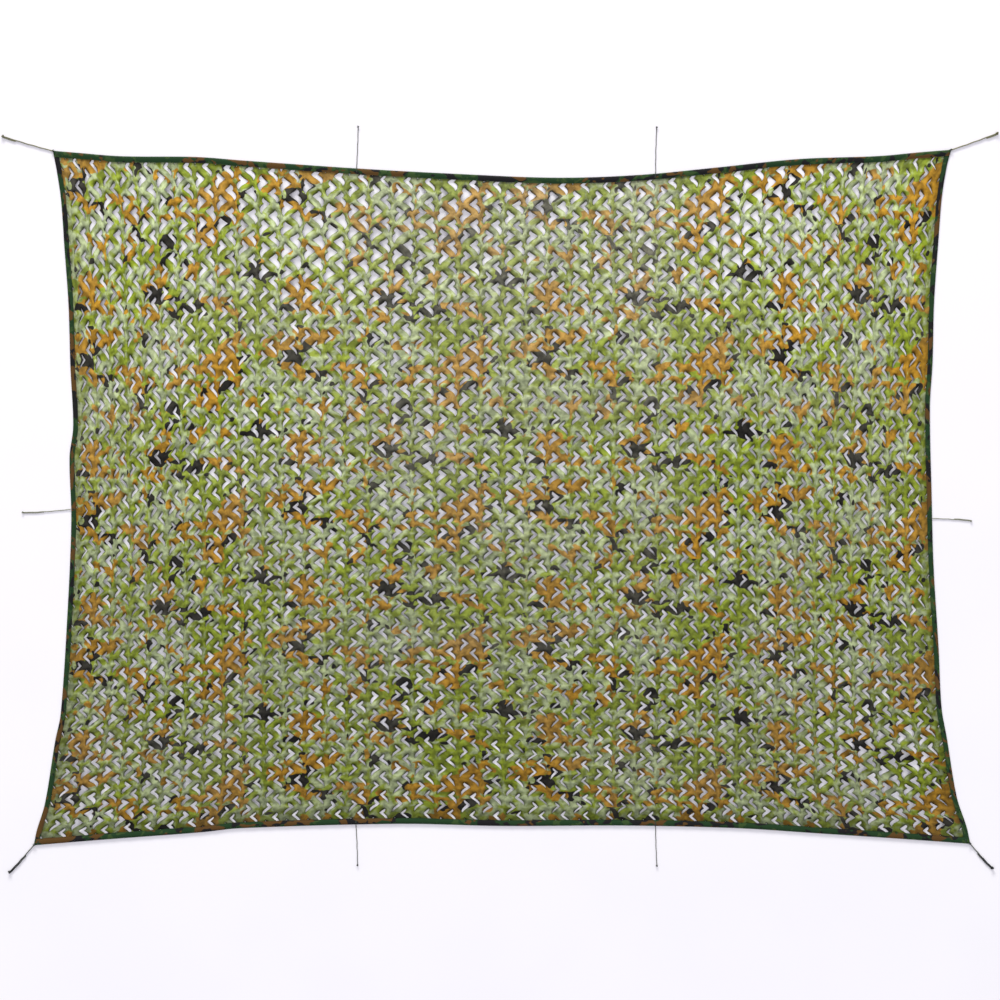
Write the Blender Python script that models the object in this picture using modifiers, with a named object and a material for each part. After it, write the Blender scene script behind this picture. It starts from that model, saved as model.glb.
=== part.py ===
# A slit-cut camouflage net, laid out flat and drawn tight by its ties.
# The printed cloth is one sheet whose raw edges sit inside four lengths of folded binding tape.
# Ten tie cords leave the tape: one at each corner, two on each long side, one on each short side.
# Metres, +Z up, +X along the long side, +Y towards the top edge. The origin is on the surface
# that the net lies on, under the middle of its outline.

import math

import bmesh
import bpy
from mathutils import Vector

# Corners of the outline, at the outer edge of the tape.
CORNERS = {
    "top_left": Vector((-1.9576, 1.5107)),
    "top_right": Vector((1.9576, 1.5151)),
    "bottom_left": Vector((-2.0405, -1.5151)),
    "bottom_right": Vector((2.0405, -1.5086)),
}

# Each edge bows inwards between its corners. Rows: (share of the way along the edge, bow).
# The short sides run down from the top corner, the long sides from left to right.
EDGES = {
    "top": {
        "ends": ("top_left", "top_right"),
        "rows": (
            (0.0, 0.0), (0.030, 0.010), (0.075, 0.024), (0.160, 0.028), (0.210, 0.043),
            (0.340, 0.079), (0.450, 0.103), (0.560, 0.120), (0.650, 0.109), (0.740, 0.076),
            (0.830, 0.040), (0.920, 0.027), (0.965, 0.011), (1.0, 0.0),
        ),
    },
    "bottom": {
        "ends": ("bottom_left", "bottom_right"),
        "rows": (
            (0.0, 0.0), (0.070, 0.023), (0.180, 0.056), (0.220, 0.073), (0.390, 0.091),
            (0.500, 0.081), (0.630, 0.082), (0.750, 0.070), (0.840, 0.046), (0.920, 0.024),
            (1.0, 0.0),
        ),
    },
    "left": {
        "ends": ("top_left", "bottom_left"),
        "rows": (
            (0.0, 0.0), (0.030, 0.020), (0.070, 0.041), (0.140, 0.062), (0.220, 0.086),
            (0.310, 0.102), (0.396, 0.121), (0.440, 0.109), (0.530, 0.124), (0.660, 0.119),
            (0.810, 0.101), (0.850, 0.080), (0.940, 0.043), (0.980, 0.010), (1.0, 0.0),
        ),
    },
    "right": {
        "ends": ("top_right", "bottom_right"),
        "rows": (
            (0.0, 0.0), (0.023, 0.020), (0.066, 0.045), (0.130, 0.066), (0.218, 0.092),
            (0.305, 0.106), (0.370, 0.123), (0.500, 0.126), (0.600, 0.126), (0.716, 0.114),
            (0.803, 0.108), (0.846, 0.089), (0.933, 0.052), (0.976, 0.013), (1.0, 0.0),
        ),
    },
}

LONG_EDGES = ("top", "bottom")

# Cloth and tape, in section.
CLOTH_THICKNESS = 0.002
TAPE_THICKNESS = 0.001
TAPE_WIDTH = 0.027
TAPE_FOLD_ROUND = 0.0012
SEWN_GAP = 0.0003
MERGE_DISTANCE = 0.00001
CLOTH_EDGE_SETBACK = 0.0032
SEAT_HEIGHT = TAPE_THICKNESS + SEWN_GAP
TAPE_HEIGHT = 2.0 * TAPE_THICKNESS + 2.0 * SEWN_GAP + CLOTH_THICKNESS
MEAN_WIDTH = 3.99
MEAN_LENGTH = 3.02

# Stations along the edges, shared by the cloth and the tape so that they bend together.
CLOTH_COLUMNS = 36
CLOTH_ROWS = 27
SEAT_BAND = 0.045

# Low swells of the cloth between the places where it lies flat.
# Rows: (centre x, centre y, half length, half width, turn in degrees, height).
SWELLS = (
    (-1.35, 0.85, 0.55, 0.16, -38.0, 0.012),
    (1.40, 0.80, 0.50, 0.17, 36.0, 0.011),
    (-1.45, -0.92, 0.45, 0.16, 42.0, 0.010),
    (1.35, -0.98, 0.50, 0.17, -40.0, 0.012),
    (-0.60, 0.35, 0.60, 0.22, 8.0, 0.009),
    (0.55, -0.20, 0.65, 0.24, -12.0, 0.010),
    (-0.35, -0.75, 0.50, 0.19, 14.0, 0.008),
    (0.75, 0.85, 0.45, 0.18, -10.0, 0.008),
    (-1.30, -0.10, 0.26, 0.42, 0.0, 0.007),
)
SWELL_CUT = 0.0015
SWELL_FADE = 0.16

# The slit lattice: how many slit pairs stand side by side and above each other.
SLIT_COLUMNS = 43
SLIT_ROWS = 34
# The pull of the ties strays the slits from an even spread, in shares of the net's width and
# length. Rows: (half waves across, half waves up, size).
STRAY_ACROSS = (
    (2, 0, -0.0173), (2, 1, 0.0075), (2, 2, 0.0053), (2, 4, 0.0026), (4, 1, 0.0037), (3, 0, -0.0021),
)
STRAY_UP = ((0, 1, -0.0368), (2, 1, -0.0139), (1, 2, 0.0026), (3, 2, -0.0029), (5, 2, 0.0020))

# The widest gaps, where the slits are drawn fully open. Half the slits point left and half right.
# Rows: (slit column, slit row, side that the slit points to).
WIDE_GAPS = (
    (9, 30, "left"), (10, 30, "right"), (11, 30, "left"), (12, 30, "right"), (13, 30, "left"),
    (14, 30, "right"), (30, 30, "left"), (31, 30, "right"), (32, 30, "left"), (33, 30, "right"),
    (34, 30, "left"), (35, 30, "right"),
)
# Middle of each slit within its lattice cell, and its outline when fully open, mirrored for the
# slits that point right, both in shares of the cell: (across, up).
SLIT_MIDDLE = {"left": (0.22, 0.50), "right": (0.78, 0.02)}
GAP_OUTLINE = (
    (0.10, 0.38), (0.14, 0.02), (0.25, -0.37), (0.02, -0.20), (-0.20, 0.06), (-0.07, 0.25),
)

CUT_FLOOR = -0.010
CUT_HEIGHT = 0.050

# Tie cords. Rows: (name, edge it leaves, share along that edge, reach, diameter, sideways bow).
CORNER_CORD = 0.0045
EDGE_CORD = 0.003
TIES = (
    ("tie_corner_top_left", "top", 0.0, Vector((-0.222, 0.065)), CORNER_CORD, 0.0020),
    ("tie_corner_top_right", "top", 1.0, Vector((0.205, 0.074)), CORNER_CORD, -0.0015),
    ("tie_corner_bottom_left", "bottom", 0.0, Vector((-0.109, -0.120)), CORNER_CORD, 0.0015),
    ("tie_corner_bottom_right", "bottom", 1.0, Vector((0.100, -0.109)), CORNER_CORD, -0.0020),
    ("tie_top_left", "top", 0.338, Vector((0.007, 0.185)), EDGE_CORD, -0.0010),
    ("tie_top_right", "top", 0.671, Vector((0.005, 0.205)), EDGE_CORD, 0.0015),
    ("tie_bottom_left", "bottom", 0.344, Vector((0.007, -0.181)), EDGE_CORD, 0.0012),
    ("tie_bottom_right", "bottom", 0.664, Vector((0.006, -0.177)), EDGE_CORD, -0.0010),
    ("tie_left", "left", 0.515, Vector((-0.214, -0.014)), EDGE_CORD, 0.0030),
    ("tie_right", "right", 0.530, Vector((0.172, -0.012)), EDGE_CORD, 0.0020),
)
CORD_START_GAP = 0.0006
CORD_DROP_LENGTH = 0.030
CORD_POINT_SPACING = 3.0
CORD_FLOOR_GAP = 0.0002

PRINT_GREEN = (0.30, 0.38, 0.11, 1.0)
TAPE_GREEN = (0.02, 0.05, 0.025, 1.0)
CORD_GREY = (0.09, 0.10, 0.075, 1.0)


def clear_scene():
    for existing in list(bpy.data.objects):
        bpy.data.objects.remove(existing)


def make_collection(name):
    collection = bpy.data.collections.new(name)
    bpy.context.scene.collection.children.link(collection)
    return collection


def make_material(name, colour, roughness):
    material = bpy.data.materials.new(name)
    material.use_nodes = True
    shader = material.node_tree.nodes["Principled BSDF"]
    shader.inputs["Base Color"].default_value = colour
    shader.inputs["Roughness"].default_value = roughness
    shader.inputs["Metallic"].default_value = 0.0
    return material


def smooth_value(rows, share):
    """Value of a smooth curve through (share, value) rows."""
    last = len(rows) - 1
    index = 0
    while index < last - 1 and share > rows[index + 1][0]:
        index += 1

    def slope(at):
        before, after = rows[max(at - 1, 0)], rows[min(at + 1, last)]
        return (after[1] - before[1]) / (after[0] - before[0])

    (start, low), (end, high) = rows[index], rows[index + 1]
    width = end - start
    t = (share - start) / width
    return (
        (2 * t**3 - 3 * t**2 + 1) * low
        + (t**3 - 2 * t**2 + t) * width * slope(index)
        + (3 * t**2 - 2 * t**3) * high
        + (t**3 - t**2) * width * slope(index + 1)
    )


def edge_point(edge, share):
    """Point of the outline at this share along the edge."""
    start, end = (CORNERS[corner] for corner in EDGES[edge]["ends"])
    chord = end - start
    inward = Vector((-chord.y, chord.x)).normalized()
    middle = start + chord / 2
    if inward.dot(middle) > 0:
        inward.negate()
    return start + chord * share + inward * smooth_value(EDGES[edge]["rows"], share)


def place(across, up):
    """Point inside the bowed outline, from its shares across (from the left) and up (from the bottom)."""
    low, high = edge_point("bottom", across), edge_point("top", across)
    left, right = edge_point("left", 1.0 - up), edge_point("right", 1.0 - up)
    corners = (
        CORNERS["bottom_left"] * (1 - across) * (1 - up)
        + CORNERS["bottom_right"] * across * (1 - up)
        + CORNERS["top_left"] * (1 - across) * up
        + CORNERS["top_right"] * across * up
    )
    return low * (1 - up) + high * up + left * (1 - across) + right * across - corners


def edge_distance(across, up):
    """Rough distance to the nearest edge of the outline."""
    return min(across * MEAN_WIDTH, (1 - across) * MEAN_WIDTH, up * MEAN_LENGTH, (1 - up) * MEAN_LENGTH)


def swell_height(across, up):
    """Height of the cloth's underside: flat on the surface, raised in the swells and in the tape."""
    spot = place(across, up)
    height = -SWELL_CUT
    for x, y, half_length, half_width, turn, crest in SWELLS:
        angle = math.radians(turn)
        along = (spot.x - x) * math.cos(angle) + (spot.y - y) * math.sin(angle)
        aside = (spot.y - y) * math.cos(angle) - (spot.x - x) * math.sin(angle)
        height += crest * math.exp(-((along / half_length) ** 2) - (aside / half_width) ** 2)
    inside = edge_distance(across, up) - SEAT_BAND
    blend = min(max(inside / SWELL_FADE, 0.0), 1.0)
    blend = blend * blend * (3 - 2 * blend)
    if inside <= 0.001:
        return SEAT_HEIGHT
    return max(height, 0.0) * blend


def stations(count, full, setback):
    """Shares along a side: one in the seam, one past the tape, then evenly spaced between."""
    seam, past = setback / full, SEAT_BAND / full
    inner = [past + (1 - 2 * past) * i / (count - 2) for i in range(count - 1)]
    return [seam] + inner + [1 - seam]


def side_stations(edge):
    """Shares along one edge at which its tape bends, from corner to corner."""
    if edge in LONG_EDGES:
        return stations(CLOTH_COLUMNS, MEAN_WIDTH, 0.0)
    return stations(CLOTH_ROWS, MEAN_LENGTH, 0.0)


def join_to(collection, name, mesh, material):
    built = bpy.data.objects.new(name, mesh)
    built.data.materials.append(material)
    collection.objects.link(built)
    return built


def grid_object(collection, name, columns, rows, position, material):
    """A grid of faces whose corner at (column, row) stands at position(column, row)."""
    bm = bmesh.new()
    bmesh.ops.create_grid(bm, x_segments=columns, y_segments=rows, size=0.5)
    for vertex in bm.verts:
        column = round((vertex.co.x + 0.5) * columns)
        row = round((vertex.co.y + 0.5) * rows)
        vertex.co = position(column, row)
    mesh = bpy.data.meshes.new(name)
    bm.to_mesh(mesh)
    bm.free()
    return join_to(collection, name, mesh, material)


def slit_point(column, row):
    """Plan point of a place in the slit lattice, counted in slit columns and rows from the bottom left."""
    across, up = column / SLIT_COLUMNS, row / SLIT_ROWS
    turn, lift = math.pi * across, math.pi * up
    across += sum(size * math.sin(m * turn) * math.cos(n * lift) for m, n, size in STRAY_ACROSS)
    up += sum(size * math.cos(m * turn) * math.sin(n * lift) for m, n, size in STRAY_UP)
    return place(across, up)


def gap_outline(column, row, side):
    """Plan outline of one fully open slit."""
    mirror = 1 if side == "left" else -1
    middle_across, middle_up = SLIT_MIDDLE[side]
    return [
        slit_point(column + middle_across + mirror * across, row + middle_up + up)
        for across, up in GAP_OUTLINE
    ]


def make_gap_cutters(collection):
    """One prism through the cloth for each of the widest gaps."""
    bm = bmesh.new()
    for gap in WIDE_GAPS:
        outline = [bm.verts.new((spot.x, spot.y, CUT_FLOOR)) for spot in gap_outline(*gap)]
        floor = bm.faces.new(outline)
        lifted = bmesh.ops.extrude_face_region(bm, geom=[floor])["geom"]
        tops = [item for item in lifted if isinstance(item, bmesh.types.BMVert)]
        bmesh.ops.translate(bm, verts=tops, vec=(0, 0, CUT_HEIGHT))
    bmesh.ops.recalc_face_normals(bm, faces=bm.faces)
    mesh = bpy.data.meshes.new("gap_cutters")
    bm.to_mesh(mesh)
    bm.free()
    cutters = bpy.data.objects.new("gap_cutters", mesh)
    collection.objects.link(cutters)
    cutters.hide_render = True
    cutters.display_type = "WIRE"
    return cutters


def make_cloth(collection, material, cutters):
    columns = stations(CLOTH_COLUMNS, MEAN_WIDTH, CLOTH_EDGE_SETBACK)
    rows = stations(CLOTH_ROWS, MEAN_LENGTH, CLOTH_EDGE_SETBACK)

    def position(column, row):
        across, up = columns[column], rows[row]
        spot = place(across, up)
        return Vector((spot.x, spot.y, swell_height(across, up)))

    cloth = grid_object(collection, "net_cloth", CLOTH_COLUMNS, CLOTH_ROWS, position, material)
    wall = cloth.modifiers.new("Thickness", "SOLIDIFY")
    wall.thickness = CLOTH_THICKNESS
    wall.offset = 1.0
    wall.use_even_offset = True
    cut = cloth.modifiers.new("Widest gaps", "BOOLEAN")
    cut.operation = "DIFFERENCE"
    cut.solver = "EXACT"
    cut.object = cutters
    return cloth


def tape_profile():
    """Section of the folded tape as one closed outline: (depth from the outer face, height)."""
    turn, wall, top = TAPE_FOLD_ROUND, TAPE_THICKNESS, TAPE_HEIGHT
    outside = (
        (TAPE_WIDTH, 0.0), (turn, 0.0), (0.0, turn),
        (0.0, top - turn), (turn, top), (TAPE_WIDTH, top),
    )
    inside = ((TAPE_WIDTH, top - wall), (wall, top - wall), (wall, wall), (TAPE_WIDTH, wall))
    return outside + inside


def make_tape(collection, name, edge, material):
    """One length of tape folded round one edge, mitred where it meets the next length."""
    full, depth_full = (MEAN_WIDTH, MEAN_LENGTH) if edge in LONG_EDGES else (MEAN_LENGTH, MEAN_WIDTH)
    shares = side_stations(edge)
    last = len(shares) - 1
    profile = tape_profile()

    def position(station, point):
        depth, height = profile[point % len(profile)]
        mitre = depth / full
        along = min(max(shares[station], mitre), 1.0 - mitre)
        if station == 0:
            along += SEWN_GAP / full
        elif station == last:
            along -= SEWN_GAP / full
        inside = depth / depth_full
        spots = {
            "bottom": (along, inside),
            "top": (along, 1.0 - inside),
            "left": (inside, 1.0 - along),
            "right": (1.0 - inside, 1.0 - along),
        }
        spot = place(*spots[edge])
        return Vector((spot.x, spot.y, height))

    tape = grid_object(collection, name, last, len(profile), position, material)
    bm = bmesh.new()
    bm.from_mesh(tape.data)
    bmesh.ops.remove_doubles(bm, verts=bm.verts, dist=MERGE_DISTANCE)
    bmesh.ops.holes_fill(bm, edges=[side for side in bm.edges if side.is_boundary])
    bmesh.ops.recalc_face_normals(bm, faces=bm.faces)
    bm.to_mesh(tape.data)
    bm.free()
    return tape


def tape_face_point(edge, share):
    """Point of the tape's outer face, which runs straight from station to station."""
    shares = side_stations(edge)
    after = next(index for index in range(1, len(shares)) if share <= shares[index])
    low, high = shares[after - 1], shares[after]
    return edge_point(edge, low).lerp(edge_point(edge, high), (share - low) / (high - low))


def make_tie(collection, name, edge, share, reach, diameter, bow, material):
    """A straight-lying tie cord: out of the fold of the tape, down onto the surface, and along it."""
    radius = diameter / 2
    rest = radius / math.cos(math.pi / 8) + CORD_FLOOR_GAP
    way = reach.normalized()
    side = Vector((-way.y, way.x))
    start = tape_face_point(edge, share) + way * CORD_START_GAP
    run = reach.length - CORD_START_GAP
    count = max(8, round(run / (CORD_POINT_SPACING * diameter)))
    curve = bpy.data.curves.new(name, "CURVE")
    curve.dimensions = "3D"
    curve.bevel_depth = radius
    curve.bevel_resolution = 2
    curve.use_fill_caps = True
    spline = curve.splines.new("POLY")
    spline.points.add(count - 1)
    for index in range(count):
        t = index / (count - 1)
        spot = start + way * (run * t) + side * (bow * math.sin(math.pi * t))
        drop = min(run * t / CORD_DROP_LENGTH, 1.0)
        drop = drop * drop * (3 - 2 * drop)
        height = rest + max(TAPE_HEIGHT / 2 - rest, 0.0) * (1 - drop)
        spline.points[index].co = (spot.x, spot.y, height, 1.0)
        spline.points[index].radius = 1.0
    cord = bpy.data.objects.new(name, curve)
    cord.data.materials.append(material)
    collection.objects.link(cord)
    return cord


def main():
    clear_scene()
    parts = make_collection("camouflage_net")
    cutters = make_collection("cutters")
    print_cloth = make_material("Printed slit cloth", PRINT_GREEN, 0.75)
    tape_cloth = make_material("Binding tape", TAPE_GREEN, 0.8)
    cord = make_material("Tie cord", CORD_GREY, 0.85)
    gap_cutters = make_gap_cutters(cutters)
    make_cloth(parts, print_cloth, gap_cutters)
    for edge in EDGES:
        make_tape(parts, "binding_" + edge, edge, tape_cloth)
    for row in TIES:
        make_tie(parts, *row, cord)


main()
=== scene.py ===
import math

import bmesh
import bpy
import numpy as np
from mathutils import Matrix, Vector


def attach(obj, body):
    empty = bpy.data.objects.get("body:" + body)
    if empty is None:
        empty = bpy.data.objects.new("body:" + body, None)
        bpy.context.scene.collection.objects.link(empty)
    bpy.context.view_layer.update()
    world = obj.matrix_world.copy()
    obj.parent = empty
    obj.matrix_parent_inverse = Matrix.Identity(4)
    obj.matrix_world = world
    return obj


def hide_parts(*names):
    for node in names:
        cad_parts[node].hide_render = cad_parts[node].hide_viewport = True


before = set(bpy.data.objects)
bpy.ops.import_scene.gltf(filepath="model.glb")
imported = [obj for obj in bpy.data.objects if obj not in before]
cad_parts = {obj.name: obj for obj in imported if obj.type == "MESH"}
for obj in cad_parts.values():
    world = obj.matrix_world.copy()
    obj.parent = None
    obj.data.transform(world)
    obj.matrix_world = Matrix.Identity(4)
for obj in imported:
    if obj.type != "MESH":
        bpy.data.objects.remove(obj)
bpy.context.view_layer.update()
sceneRoot = bpy.context.scene.collection

# Outline of the stretched net, as the frame has it.
corners = {
    "topLeft": (-1.9576, 1.5107),
    "topRight": (1.9576, 1.5151),
    "bottomLeft": (-2.0405, -1.5151),
    "bottomRight": (2.0405, -1.5086),
}

# Each edge bows inwards between its two corners. Long sides run from left to right, short sides down
# from the top corner. Rows: (share along the edge, bow).
edges = {
    "top": (("topLeft", "topRight"), (
        (0.0, 0.0), (0.03, 0.01), (0.075, 0.024), (0.16, 0.028), (0.21, 0.043),
        (0.34, 0.079), (0.45, 0.103), (0.56, 0.12), (0.65, 0.109), (0.74, 0.076),
        (0.83, 0.04), (0.92, 0.027), (0.965, 0.011), (1.0, 0.0),
    )),
    "bottom": (("bottomLeft", "bottomRight"), (
        (0.0, 0.0), (0.07, 0.023), (0.18, 0.056), (0.22, 0.073), (0.39, 0.091),
        (0.5, 0.081), (0.63, 0.082), (0.75, 0.07), (0.84, 0.046), (0.92, 0.024),
        (1.0, 0.0),
    )),
    "left": (("topLeft", "bottomLeft"), (
        (0.0, 0.0), (0.03, 0.02), (0.07, 0.041), (0.14, 0.062), (0.22, 0.086),
        (0.31, 0.102), (0.396, 0.121), (0.44, 0.109), (0.53, 0.124), (0.66, 0.119),
        (0.81, 0.101), (0.85, 0.08), (0.94, 0.043), (0.98, 0.01), (1.0, 0.0),
    )),
    "right": (("topRight", "bottomRight"), (
        (0.0, 0.0), (0.023, 0.02), (0.066, 0.045), (0.13, 0.066), (0.218, 0.092),
        (0.305, 0.106), (0.37, 0.123), (0.5, 0.126), (0.6, 0.126), (0.716, 0.114),
        (0.803, 0.108), (0.846, 0.089), (0.933, 0.052), (0.976, 0.013), (1.0, 0.0),
    )),
}
longEdges = ("top", "bottom")
meanWidth, meanLength = 3.99, 3.02


def smoothValue(rows, share):
    # Smooth curve through the rows, read at an array of shares.
    at, value = np.array(rows).T
    count = np.arange(len(at))
    before, after = np.maximum(count - 1, 0), np.minimum(count + 1, len(at) - 1)
    slope = (value[after] - value[before]) / (at[after] - at[before])
    index = np.clip(np.searchsorted(at, share, side="left") - 1, 0, len(at) - 2)
    width = at[index + 1] - at[index]
    t = (share - at[index]) / width
    return (
        (2 * t**3 - 3 * t**2 + 1) * value[index]
        + (t**3 - 2 * t**2 + t) * width * slope[index]
        + (3 * t**2 - 2 * t**3) * value[index + 1]
        + (t**3 - t**2) * width * slope[index + 1]
    )


def edgePoint(edge, share):
    # Points of the outline at an array of shares along one edge.
    ends, rows = edges[edge]
    start, end = (np.array(corners[name]) for name in ends)
    chord = end - start
    inward = np.array((-chord[1], chord[0])) / np.linalg.norm(chord)
    if inward @ (start + chord / 2) > 0:
        inward = -inward
    share = np.asarray(share, float)
    return start + share[..., None] * chord + smoothValue(rows, share)[..., None] * inward


def place(across, up):
    # Points inside the bowed outline, from their shares across and up.
    across, up = np.asarray(across, float), np.asarray(up, float)
    a, u = across[..., None], up[..., None]
    straight = (
        np.array(corners["bottomLeft"]) * (1 - a) * (1 - u)
        + np.array(corners["bottomRight"]) * a * (1 - u)
        + np.array(corners["topLeft"]) * (1 - a) * u
        + np.array(corners["topRight"]) * a * u
    )
    return (
        edgePoint("bottom", across) * (1 - u)
        + edgePoint("top", across) * u
        + edgePoint("left", 1 - up) * (1 - a)
        + edgePoint("right", 1 - up) * a
        - straight
    )


def easeShare(value, begin=0, span=1):
    # From 0 to 1 as the value runs over the span, gently at both ends.
    value = np.clip((value - begin) / span, 0.0, 1.0)
    return value * value * (3 - 2 * value)


# Small helpers for meshes and node trees.
def smoothFaces(mesh):
    mesh.polygons.foreach_set("use_smooth", [True] * len(mesh.polygons))


def makeObject(name, vertices, faces, material=None):
    mesh = bpy.data.meshes.new(name)
    mesh.from_pydata([tuple(v) for v in vertices], [], [tuple(f) for f in faces])
    mesh.validate()
    made = bpy.data.objects.new(name, mesh)
    sceneRoot.objects.link(made)
    if material:
        mesh.materials.append(material)
    smoothFaces(mesh)
    return made


def tubeFaces(rings, sides):
    # Faces of a tube from its rings of vertices, with a cap at each end.
    faces = []
    for ring in range(rings - 1):
        for k in range(sides):
            a, b = ring * sides + k, ring * sides + (k + 1) % sides
            faces.append((a, b, b + sides, a + sides))
    faces.append(tuple(range(sides - 1, -1, -1)))
    faces.append(tuple(range((rings - 1) * sides, rings * sides)))
    return faces


def unitWays(spots):
    way = np.gradient(spots, axis=0)
    return way / np.linalg.norm(way, axis=1)[:, None]


def setPointValues(mesh, name, values):
    # One number or one vector at each vertex.
    values = np.asarray(values, np.float32)
    kind, key = ("FLOAT", "value") if values.ndim == 1 else ("FLOAT_VECTOR", "vector")
    mesh.attributes.new(name, kind, "POINT").data.foreach_set(key, values.ravel())


def pointValues(mesh, name, width):
    values = np.empty(len(mesh.vertices) * width, np.float32)
    mesh.attributes[name].data.foreach_get("vector" if width == 3 else "value", values)
    values = values.astype(float)
    return values.reshape(-1, width) if width == 3 else values


def addUv(mesh, name, perVertex):
    # One UV map from a value at each vertex.
    layer = mesh.uv_layers.new(name=name)
    loops = np.empty(len(mesh.loops), np.int32)
    mesh.loops.foreach_get("vertex_index", loops)
    layer.data.foreach_set("uv", np.asarray(perVertex, np.float32)[loops].ravel())


def toMesh(source, name):
    # The evaluated shape of an object as a plain mesh object.
    graph = bpy.context.evaluated_depsgraph_get()
    graph.update()
    mesh = bpy.data.meshes.new_from_object(source.evaluated_get(graph), depsgraph=graph)
    mesh.name = name
    made = bpy.data.objects.new(name, mesh)
    sceneRoot.objects.link(made)
    bpy.data.objects.remove(source)
    return made


def feed(tree, target, value):
    # A socket takes a link where the value is another socket, or the value itself.
    if isinstance(value, bpy.types.NodeSocket):
        tree.links.new(value, target)
    else:
        target.default_value = value


def addNode(tree, kind, inputs=None, **settings):
    # Inputs go by the name or number of a socket, settings by the name of a property.
    node = tree.nodes.new(kind)
    node.location = (220 * (len(tree.nodes) % 8), -320 * (len(tree.nodes) // 8))
    for key, value in settings.items():
        setattr(node, key, value)
    for socket, value in (inputs or {}).items():
        feed(tree, node.inputs[socket], value)
    return node


def mathNode(tree, operation, first, second=None, clamp=False):
    values = {0: first} if second is None else {0: first, 1: second}
    return addNode(tree, "ShaderNodeMath", values, operation=operation, use_clamp=clamp).outputs[0]


def rangeNode(tree, value, low, high, toLow=0.0, toHigh=1.0):
    values = {"Value": value, "From Min": low, "From Max": high, "To Min": toLow, "To Max": toHigh}
    return addNode(tree, "ShaderNodeMapRange", values, interpolation_type="SMOOTHSTEP").outputs["Result"]


def mixColour(tree, share, first, second, blend="MIX"):
    values = {"Factor": share, 6: first, 7: second}
    return addNode(tree, "ShaderNodeMix", values, data_type="RGBA", blend_type=blend).outputs[2]


def noiseNode(tree, vector, scale, detail=2.0, distortion=0.0, stretch=None):
    if stretch:
        vector = addNode(tree, "ShaderNodeMapping", {"Vector": vector, "Scale": stretch}).outputs[0]
    values = {"Vector": vector, "Scale": scale, "Detail": detail, "Distortion": distortion}
    return addNode(tree, "ShaderNodeTexNoise", values).outputs["Fac"]


def attributeNode(tree, name):
    return addNode(tree, "ShaderNodeAttribute", attribute_name=name).outputs["Fac"]


def uvNode(tree, name):
    return addNode(tree, "ShaderNodeUVMap", uv_map=name).outputs[0]


def bumpNode(tree, height, strength, distance, **more):
    values = {"Height": height, "Strength": strength, "Distance": distance, **more}
    return addNode(tree, "ShaderNodeBump", values).outputs[0]


def groupNode(tree, group, **values):
    node = addNode(tree, "ShaderNodeGroup", node_tree=group)
    for label, value in values.items():
        feed(tree, node.inputs[label], value)
    return node.outputs


def screenColour(red, green, blue):
    # Linear colour from the usual 0 to 255 screen values.
    def linear(value):
        value /= 255
        return value / 12.92 if value <= 0.04045 else ((value + 0.055) / 1.055) ** 2.4

    return (linear(red), linear(green), linear(blue), 1.0)


def newGroup(name, inputs, outputs, kind="ShaderNodeTree"):
    # Rows: (name, kind of socket, default where it has one).
    group = bpy.data.node_groups.new(name, kind)
    for way, rows in (("INPUT", inputs), ("OUTPUT", outputs)):
        for label, socketKind, *default in rows:
            socket = group.interface.new_socket(name=label, in_out=way, socket_type="NodeSocket" + socketKind)
            if default:
                socket.default_value = default[0]
    return group, addNode(group, "NodeGroupInput").outputs, addNode(group, "NodeGroupOutput").inputs


def newMaterial(name):
    material = bpy.data.materials.new(name)
    material.use_nodes = True
    return material, material.node_tree


def setSurface(tree, colour, roughness, specular=0.5, **more):
    sockets = tree.nodes["Principled BSDF"].inputs
    values = {"Base Color": colour, "Roughness": roughness, "Specular IOR Level": specular, **more}
    for name, value in values.items():
        feed(tree, sockets[name], value)


def makePlainMaterial(name, colour, scale, low, high, brighter, *surface):
    # One colour that wavers a little. The surface is its roughness, and its specular level if not 0.5.
    material, tree = newMaterial(name)
    place3d = addNode(tree, "ShaderNodeTexCoord").outputs["Object"]
    share = rangeNode(tree, noiseNode(tree, place3d, scale), low, high)
    other = (*(value * brighter for value in colour[:3]), 1)
    setSurface(tree, mixColour(tree, share, colour, other), *surface)
    return material


# Layers of the camouflage print: (noise number, scale, stretch, detail, share in its sum).
printLayers = {
    "broad": (4, 0.6, 1.0, 1.0, 0.55),
    "fine": (1, 2.7, 1.2, 2.0, 1.0),
    "clusters": (2, 0.9, 1.5, 2.0, 0.74),
    "pieces": (5, 2.8, 1.3, 1.0, 0.26),
    "marks": (3, 1.0, 1.7, 1.0, 0.7),
    "strokes": (6, 2.6, 1.3, 0.0, 0.3),
}


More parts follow.
